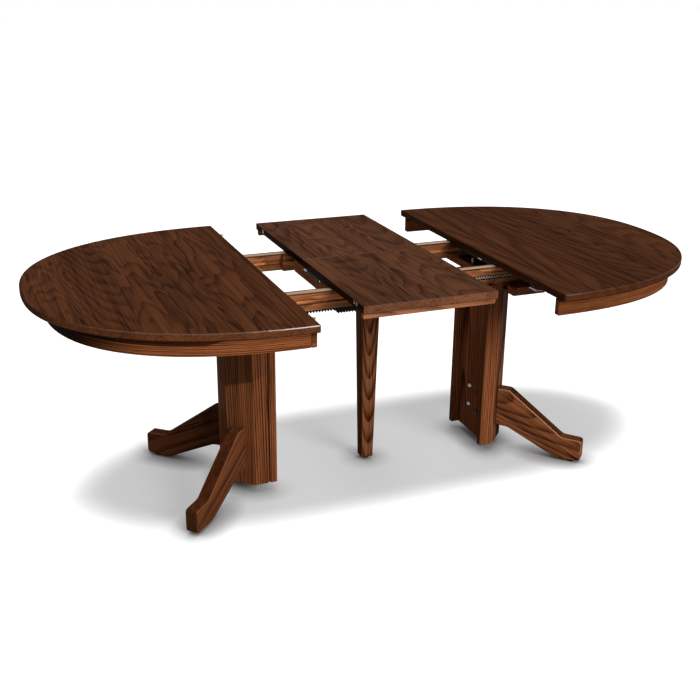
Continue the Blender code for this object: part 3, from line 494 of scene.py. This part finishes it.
# Painted shadow: a dark band along the top of the right apron, under the top's overhang
apronPaintedShadow = {"middle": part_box("right_apron")[1][2], "half": 0.0085, "tint": (0.36, 0.32, 0.28)}
leafSeam = {"middle": (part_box("leaf_front")[1][1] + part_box("leaf_back")[0][1]) / 2, "half": 0.0016,
            "tint": (0.35, 0.33, 0.31)}
# Painted light: the rails' groove is lightened as if lit, with painted shadow lines along its two edges
railGroovePaintedLight = {"middle": (railLow[2] + railHigh[2]) / 2, "half": 0.0065, "tint": (2.0, 1.9, 1.65),
              "line": 0.0009, "lineTint": (0.30, 0.26, 0.22)}
railArris = {"middle": railHigh[2], "half": 0.0030, "tint": (0.34, 0.29, 0.25)}
rackPaintedGlints = {"middle": (rackLow[2] + rackHigh[2]) / 2, "pitch": 0.01005, "swing": 0.0060,
             "edge": (0.0024, 0.0012), "colour": (0.58, 0.48, 0.37)}
acrossLeaf = [(1, leafSeam)]
alongApron = [(2, apronPaintedShadow)]
alongRail = [(2, railGroovePaintedLight), (2, railArris)]

leafStrip = woodMaterial("leafStripWood", leafStripWood, "length", seed=2.50)
leftLeg = woodMaterial("leftLegWood", leftLegWood, "leg", seed=10.83, shade=shadeLeg)
nylon = hardMaterial("blackNylon", (0.008, 0.008, 0.009), roughness=0.55, grain=400, gloss=0.04)
steel = hardMaterial("hingeSteel", (0.30, 0.30, 0.31), roughness=0.35, grain=200, gloss=0.5, metallic=1.0)
brightSteel = hardMaterial("brightSteel", (0.80, 0.78, 0.74), roughness=0.35, grain=260, gloss=0.5,
                           metallic=1.0)
paleNylon = hardMaterial("paleNylon", (0.62, 0.60, 0.56), roughness=0.45, grain=300, gloss=0.20)

# Which finish each node takes; the longest ending that fits counts
finishes = {
    "left_top": woodMaterial("leftTopWalnut", walnut, "depth", seed=153.73, edge=0.98),
    "right_top": woodMaterial("rightTopWalnut", rightWalnut, "depth", seed=12.42, edge=0.30),
    "leaf_front": woodMaterial("leafFrontWalnut", leafWalnut, "depth", seed=148.40, edge=0.98,
                               bands=acrossLeaf),
    "leaf_back": woodMaterial("leafBackWalnut", leafWalnut, "depth", seed=89.02, edge=0.98,
                              bands=acrossLeaf),
    "leaf_front_apron": leafStrip,
    "leaf_back_apron": leafStrip,
    "left_apron": woodMaterial("leftApronWood", leftApronWood, "round", seed=5.10, shade=paintOverhangShadow),
    "right_apron": woodMaterial("rightApronWood", rightApronWood, "round", seed=5.60, bands=alongApron),
    "_block": woodMaterial("blockWood", baseWood, "length", seed=8.40),
    "_leg": woodMaterial("legWood", rightLegWood, "leg", seed=6.83, shade=shadeLeg),
    "left_front_leg": leftLeg,
    "left_back_leg": leftLeg,
    "centre_leg": woodMaterial("centreLegWood", centreLegWood, "upright", seed=70.40),
    "left_column_shell": woodMaterial("leftColumnWood", baseWood, "upright", seed=6.20,
                                      shade=paintLeftColumnShadow),
    "right_column_shell": woodMaterial("rightColumnWood", baseWood, "upright", seed=6.20,
                                       shade=paintRightColumnShade),
    "_strip": woodMaterial("columnStripWood", baseWood, "upright", seed=11.60),
    "_core": woodMaterial("coreWood", baseWood, "upright", seed=14.90, polish=0.01),
    "_cleat": woodMaterial("cleatWood", baseWood, "depth", seed=17.10, polish=0.01),
    "leg_beam": woodMaterial("beamWood", slideWood, "depth", seed=12.30, polish=0.01),
    "_frame": woodMaterial("frameWood", slideWood, "depth", seed=15.80, polish=0.01),
    "_rail": woodMaterial("railWood", slideWood, "length", seed=7.70, polish=0.01, bands=alongRail),
    "right_back_rail": woodMaterial("farRailPaintedShadeWood", farRailPaintedShadeWood, "length", seed=7.70, polish=0.01,
                                    bands=alongRail),
    "rail_strip": woodMaterial("paleStripWood", paleWood, "length", seed=2.60, polish=0.01),
    "_dowel": woodMaterial("dowelWood", paleWood, "length", seed=1.20, polish=0.01),
    "_bolts": hardMaterial("zincSteel", (0.30, 0.30, 0.31), roughness=0.32, grain=260, gloss=0.5,
                           metallic=1.0),
    # Painted shade: the right front leg's bolts are coloured nearly black for the shadow they sit in
    "right_front_leg_bolts": hardMaterial("shadedSteel", (0.020, 0.013, 0.009), roughness=0.45, grain=260,
                                          gloss=0.2, metallic=0.6),
    "_bolt": hardMaterial("zincRod", (0.28, 0.28, 0.29), roughness=0.35, grain=260, gloss=0.5, metallic=1.0),
    "_hinge": steel,
    "_plate": hardMaterial("blackSteel", (0.012, 0.012, 0.013), roughness=0.50, grain=200, gloss=0.15),
    "right_rack": rackMaterial("rackNylon", (0.008, 0.008, 0.009), rackPaintedGlints),
    "": nylon,
}
for name, node in nodes.items():
    ending = max((key for key in finishes if name.endswith(key)), key=len)
    node.data.materials.clear()
    node.data.materials.append(finishes[ending])
print("finishes set")


def addBlock(shape, corner, size, ease):
    made = bmesh.ops.create_cube(shape, size=1)["verts"]
    bmesh.ops.scale(shape, vec=size, verts=made)
    bmesh.ops.translate(shape, vec=Vector(corner) + Vector(size) / 2, verts=made)
    edges = list(dict.fromkeys(edge for vert in made for edge in vert.link_edges))
    bmesh.ops.bevel(shape, geom=edges, offset=ease, segments=2, profile=0.5, affect="EDGES", material=-1)


turnSteps = 24
mergeDistance = 0.00001


def addTurned(shape, outline, centre, axis):
    # The outline is (radius, distance along the axis), turned full circle about it
    axis = Vector(axis)
    side = axis.orthogonal().normalized()
    spots = [shape.verts.new(Vector(centre) + side * radius + axis * along) for radius, along in outline]
    edges = [shape.edges.new(pair) for pair in zip(spots, spots[1:] + spots[:1])]
    bmesh.ops.spin(shape, geom=spots + edges, cent=centre, axis=axis, angle=math.tau, steps=turnSteps,
                   use_merge=True)


def finishPiece(name, shape, material, body):
    bmesh.ops.remove_doubles(shape, verts=shape.verts[:], dist=mergeDistance)
    bmesh.ops.recalc_face_normals(shape, faces=shape.faces[:])
    mesh = bpy.data.meshes.new(name)
    shape.to_mesh(mesh)
    shape.free()
    piece = bpy.data.objects.new(name, mesh)
    bpy.context.scene.collection.objects.link(piece)
    mesh.materials.append(material)
    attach(piece, body)


# A toothed stop under the left front rail; the fittings' lengths are metres from the node that carries them
rackStop = {"start": 0.4880, "front": 0.0015, "gap": 0.0003, "size": (0.0675, 0.0290, 0.0169), "ease": 0.0008,
            "teeth": 7, "tooth": 0.0065, "toothRise": 0.0003, "toothInset": 0.0005}
length, width, height = rackStop["size"]
start, front = railLow[0] + rackStop["start"], railLow[1] + rackStop["front"]
foot = railLow[2] - rackStop["gap"] - height
shape = bmesh.new()
addBlock(shape, (start, front, foot), rackStop["size"], rackStop["ease"])
pitch = length / rackStop["teeth"]
toothWidth = (width - 2 * rackStop["toothInset"]) / rackStop["tooth"]
for number in range(rackStop["teeth"]):
    made = bmesh.ops.create_cube(shape, size=rackStop["tooth"])["verts"]
    bmesh.ops.rotate(shape, cent=(0, 0, 0), matrix=Matrix.Rotation(math.pi / 4, 3, "Y"), verts=made)
    bmesh.ops.scale(shape, vec=(1, toothWidth, 1), verts=made)
    spot = (start + pitch * (number + 0.5), front + width / 2, foot + rackStop["toothRise"])
    bmesh.ops.translate(shape, vec=spot, verts=made)
finishPiece("rackStop", shape, nylon, "left_half")

# The catch along the front leaf's frame, with two steel plates let into its face
catchBar = {"gap": 0.0003, "front": 0.0090, "drop": 0.0004, "size": (0.0035, 0.1680, 0.0098), "ease": 0.0006}
catchPlates = {"spots": ((0.1370, 0.0260), (0.0040, 0.0070)), "proud": 0.0004, "thick": 0.0007,
               "foot": 0.0010, "height": 0.0075, "ease": 0.0003}
frameLow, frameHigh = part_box("leaf_front_frame")
side = frameLow[0] - catchBar["gap"] - catchBar["size"][0]
front = frameLow[1] + catchBar["front"]
foot = frameHigh[2] - catchBar["drop"] - catchBar["size"][2]
shape = bmesh.new()
addBlock(shape, (side, front, foot), catchBar["size"], catchBar["ease"])
finishPiece("leafCatchBar", shape, nylon, "leaf_front_half")
shape = bmesh.new()
for begin, width in catchPlates["spots"]:
    corner = (side - catchPlates["proud"], front + begin, foot + catchPlates["foot"])
    addBlock(shape, corner, (catchPlates["thick"], width, catchPlates["height"]), catchPlates["ease"])
finishPiece("leafCatchPlates", shape, steel, "leaf_front_half")

# Steel cups on the leaf's left edge; the back one is in line with the leaf's dowel
pinCups = {"outer": 0.0062, "inner": 0.0050, "ease": 0.0003, "gap": 0.0001, "proud": 0.0003,
           "front": (0.07815, 0.05825), "drop": 0.0094}
outer, inner, proud = pinCups["outer"], pinCups["inner"], pinCups["proud"]
cup = [(inner, pinCups["gap"]), (outer, pinCups["gap"]), (outer - pinCups["ease"], proud), (inner, proud)]
leafLow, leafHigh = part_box("leaf_front")
dowelLow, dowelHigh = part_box("leaf_dowel")
outwards = (-1, 0, 0)
shape = bmesh.new()
for deep in pinCups["front"]:
    addTurned(shape, cup, (leafLow[0], leafLow[1] + deep, leafHigh[2] - pinCups["drop"]), outwards)
finishPiece("leafFrontPinCups", shape, brightSteel, "leaf_front_half")
shape = bmesh.new()
dowelDeep, dowelUp = ((low + high) / 2 for low, high in list(zip(dowelLow, dowelHigh))[1:])
addTurned(shape, cup, (leafLow[0], dowelDeep, dowelUp), outwards)
finishPiece("leafBackPinCup", shape, brightSteel, "carriage")

# A pale peg on the right cleat
restPeg = {"inset": 0.0158, "deep": 0.0620, "gap": 0.0002, "height": 0.0195, "radius": 0.0034,
           "shoulder": 0.9, "tip": 0.7}
cleatLow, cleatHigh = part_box("right_cleat")
radius, height = restPeg["radius"], restPeg["height"]
shoulder, tip = height * restPeg["shoulder"], radius * restPeg["tip"]
foot = (cleatLow[0] + restPeg["inset"], restPeg["deep"], cleatHigh[2] + restPeg["gap"])
shape = bmesh.new()
addTurned(shape, [(0, 0), (radius, 0), (radius, shoulder), (tip, height), (0, height)], foot, (0, 0, 1))
finishPiece("restPeg", shape, paleNylon, "right_half")

# Steel tongues below the lock plates of both tops, set towards the split
lockTongues = {"shift": 0.0115, "front": 0.00975, "gap": 0.0005, "size": (0.0420, 0.0400, 0.0040),
               "ease": 0.0012}
length, width, height = lockTongues["size"]
for name, side in (("left", -1), ("right", 1)):
    plateLow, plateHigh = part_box(name + "_lock_plate")
    middle = (plateLow[0] + plateHigh[0]) / 2 - side * lockTongues["shift"]
    front = plateLow[1] + lockTongues["front"]
    foot = plateLow[2] - lockTongues["gap"] - height
    shape = bmesh.new()
    addBlock(shape, (middle - length / 2, front, foot), lockTongues["size"], lockTongues["ease"])
    finishPiece(name + "LockTongue", shape, steel, name + "_half")

# Under the right top: a steel tab between two black bars, which run from rail to rail; the black bars are
# partly lock hardware and partly a dark stand-in for the shade under the top's split edge
guideTab = {"proud": 0.0030, "start": 0.0680, "gap": 0.0004, "size": (0.0315, 0.0270, 0.0046), "ease": 0.0010}
lockBarsAndShadow = {"inset": 0.0030, "clear": 0.0060, "break": 0.0040, "gap": 0.0004, "width": 0.0240,
            "height": 0.0081, "ease": 0.0010}
edge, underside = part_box("right_top")[0][0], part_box("right_top")[0][2]
frontRail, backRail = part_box("right_front_rail")[1][1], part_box("right_back_rail")[0][1]
tabFront = frontRail + guideTab["start"]
tabBack = tabFront + guideTab["size"][1]
foot = underside - lockBarsAndShadow["gap"] - lockBarsAndShadow["height"]
shape = bmesh.new()
for begin, end in ((frontRail + lockBarsAndShadow["clear"], tabFront - lockBarsAndShadow["break"]),
                   (tabBack + lockBarsAndShadow["break"], backRail - lockBarsAndShadow["clear"])):
    size = (lockBarsAndShadow["width"], end - begin, lockBarsAndShadow["height"])
    addBlock(shape, (edge + lockBarsAndShadow["inset"], begin, foot), size, lockBarsAndShadow["ease"])
finishPiece("rightLockBarsAndShadow", shape, nylon, "right_half")
shape = bmesh.new()
foot = underside - guideTab["gap"] - guideTab["size"][2]
addBlock(shape, (edge - guideTab["proud"], tabFront, foot), guideTab["size"], guideTab["ease"])
finishPiece("rightGuideTab", shape, steel, "right_half")
print("fittings made")

# Soft lamps: where each stands from the table, how wide it is in degrees, and whether gloss shows it
lamps = {
    "overhead": {"aim": (0.05, -0.12, 1.0), "spread": 36, "level": 1.45, "glossy": True},
    "frontFill": {"aim": (0.337, -0.833, 0.438), "spread": 26, "level": 2.82, "glossy": True},
    "backFill": {"aim": (0.30, 0.90, 0.30), "spread": 40, "level": 0.45, "glossy": False},
}
for name, lamp in lamps.items():
    light = bpy.data.lights.new(name, "SUN")
    light.energy = lamp["level"]
    light.angle = math.radians(lamp["spread"])
    holder = bpy.data.objects.new(name, light)
    holder.matrix_world = Vector(lamp["aim"]).normalized().to_track_quat("Z", "Y").to_matrix().to_4x4()
    holder.visible_glossy = lamp["glossy"]
    bpy.context.scene.collection.objects.link(holder)


def seenDirectly(tree):
    path = tree.nodes.new("ShaderNodeLightPath").outputs
    straight = calc(tree, "ADD", path["Is Camera Ray"], path["Is Glossy Ray"])
    return calc(tree, "MINIMUM", calc(tree, "ADD", straight, path["Is Transmission Ray"]), 1.0)


# The camera and the metal see a white surround; the object is lit by a dimmer sky
ambient = {"sky": 0.24, "horizon": 0.02, "climb": (0.1, 0.9)}
world = bpy.data.worlds.new("studio")
bpy.context.scene.world = world
world.use_nodes = True
tree = world.node_tree
height = split(tree, tree.nodes.new("ShaderNodeTexCoord").outputs["Generated"])[2]
glow = between(tree, step(tree, height, *ambient["climb"]), ambient["horizon"], ambient["sky"])
background = tree.nodes["Background"].inputs
tree.links.new(calc(tree, "MAXIMUM", glow, seenDirectly(tree)), background["Strength"])
background["Color"].default_value = (1, 1, 1, 1)

# The floor's own light makes it read white away from the table, and it keeps the lamps' shadow. Painted
# shadow: its glow is lower in an oval round the table and lower again near the feet, and the camera and
# reflections see it darker than the light it bounces
floorTone = {"size": 60, "colour": (0.46, 0.46, 0.46), "seen": (0.25, 0.25, 0.25), "roughness": 0.9,
             "lift": 0.45, "centre": (0.06, 0.06), "reach": (1.18, 0.475), "square": (4.0, 1.6),
             "fade": (0.48, 1.06), "rim": 0.62, "contact": 0.09, "depth": 2.4}
floorMaterial, tree, shader = newMaterial("paleFloor")
tone = blendColour(tree, "MIX", seenDirectly(tree), (*floorTone["colour"], 1), (*floorTone["seen"], 1))
tree.links.new(tone, shader.inputs["Base Color"])
shader.inputs["Roughness"].default_value = floorTone["roughness"]
shader.inputs["Specular IOR Level"].default_value = 0.0
shader.inputs["Emission Color"].default_value = (1, 1, 1, 1)
places = objectPlace(tree)
shares = []
for axis in (0, 1):
    away = distance(tree, places[axis], floorTone["centre"][axis])
    away = calc(tree, "DIVIDE", away, floorTone["reach"][axis])
    shares.append(calc(tree, "POWER", away, floorTone["square"][axis]))
outside = step(tree, calc(tree, "ADD", *shares), *floorTone["fade"])
lift = calc(tree, "MULTIPLY_ADD", outside, floorTone["rim"], floorTone["lift"])
# Painted contact shadow: ambient occlusion dims the floor's glow next to the feet
paintedContactShadow = tree.nodes.new("ShaderNodeAmbientOcclusion")
paintedContactShadow.inputs["Distance"].default_value = floorTone["contact"]
lift = times(tree, lift, calc(tree, "POWER", paintedContactShadow.outputs["AO"], floorTone["depth"]))
tree.links.new(times(tree, seenDirectly(tree), lift), shader.inputs["Emission Strength"])
bpy.ops.mesh.primitive_plane_add(size=floorTone["size"])
floor = bpy.context.object
floor.name = "floor"
floor.data.materials.append(floorMaterial)
print("studio ready")

# The photo's own view: place in metres, angles in degrees, focal length in pixels of a 700 pixel frame
camera = {"place": (-1.3417, -3.1324, 1.7260), "azimuth": -22.171, "elevation": 20.891, "roll": 0.705,
          "focal": 1015.8, "frame": 700, "sensor": 36}
lens = bpy.data.cameras.new("photoCamera")
lens.sensor_width = camera["sensor"]
lens.lens = camera["focal"] / camera["frame"] * camera["sensor"]
azimuth, elevation, roll = (math.radians(camera[angle]) for angle in ("azimuth", "elevation", "roll"))
back = Vector((math.sin(azimuth) * math.cos(elevation), -math.cos(azimuth) * math.cos(elevation),
               math.sin(elevation)))
right = Vector((math.cos(azimuth), math.sin(azimuth), 0))
up = back.cross(right)
rolledRight = right * math.cos(roll) + up * math.sin(roll)
rolledUp = up * math.cos(roll) - right * math.sin(roll)
turned = Matrix((rolledRight, rolledUp, back)).transposed()
viewer = bpy.data.objects.new("photoCamera", lens)
viewer.matrix_world = Matrix.Translation(camera["place"]) @ turned.to_4x4()
bpy.context.scene.collection.objects.link(viewer)
bpy.context.scene.camera = viewer
bpy.context.scene.view_settings.view_transform = "Standard"
print("camera placed")
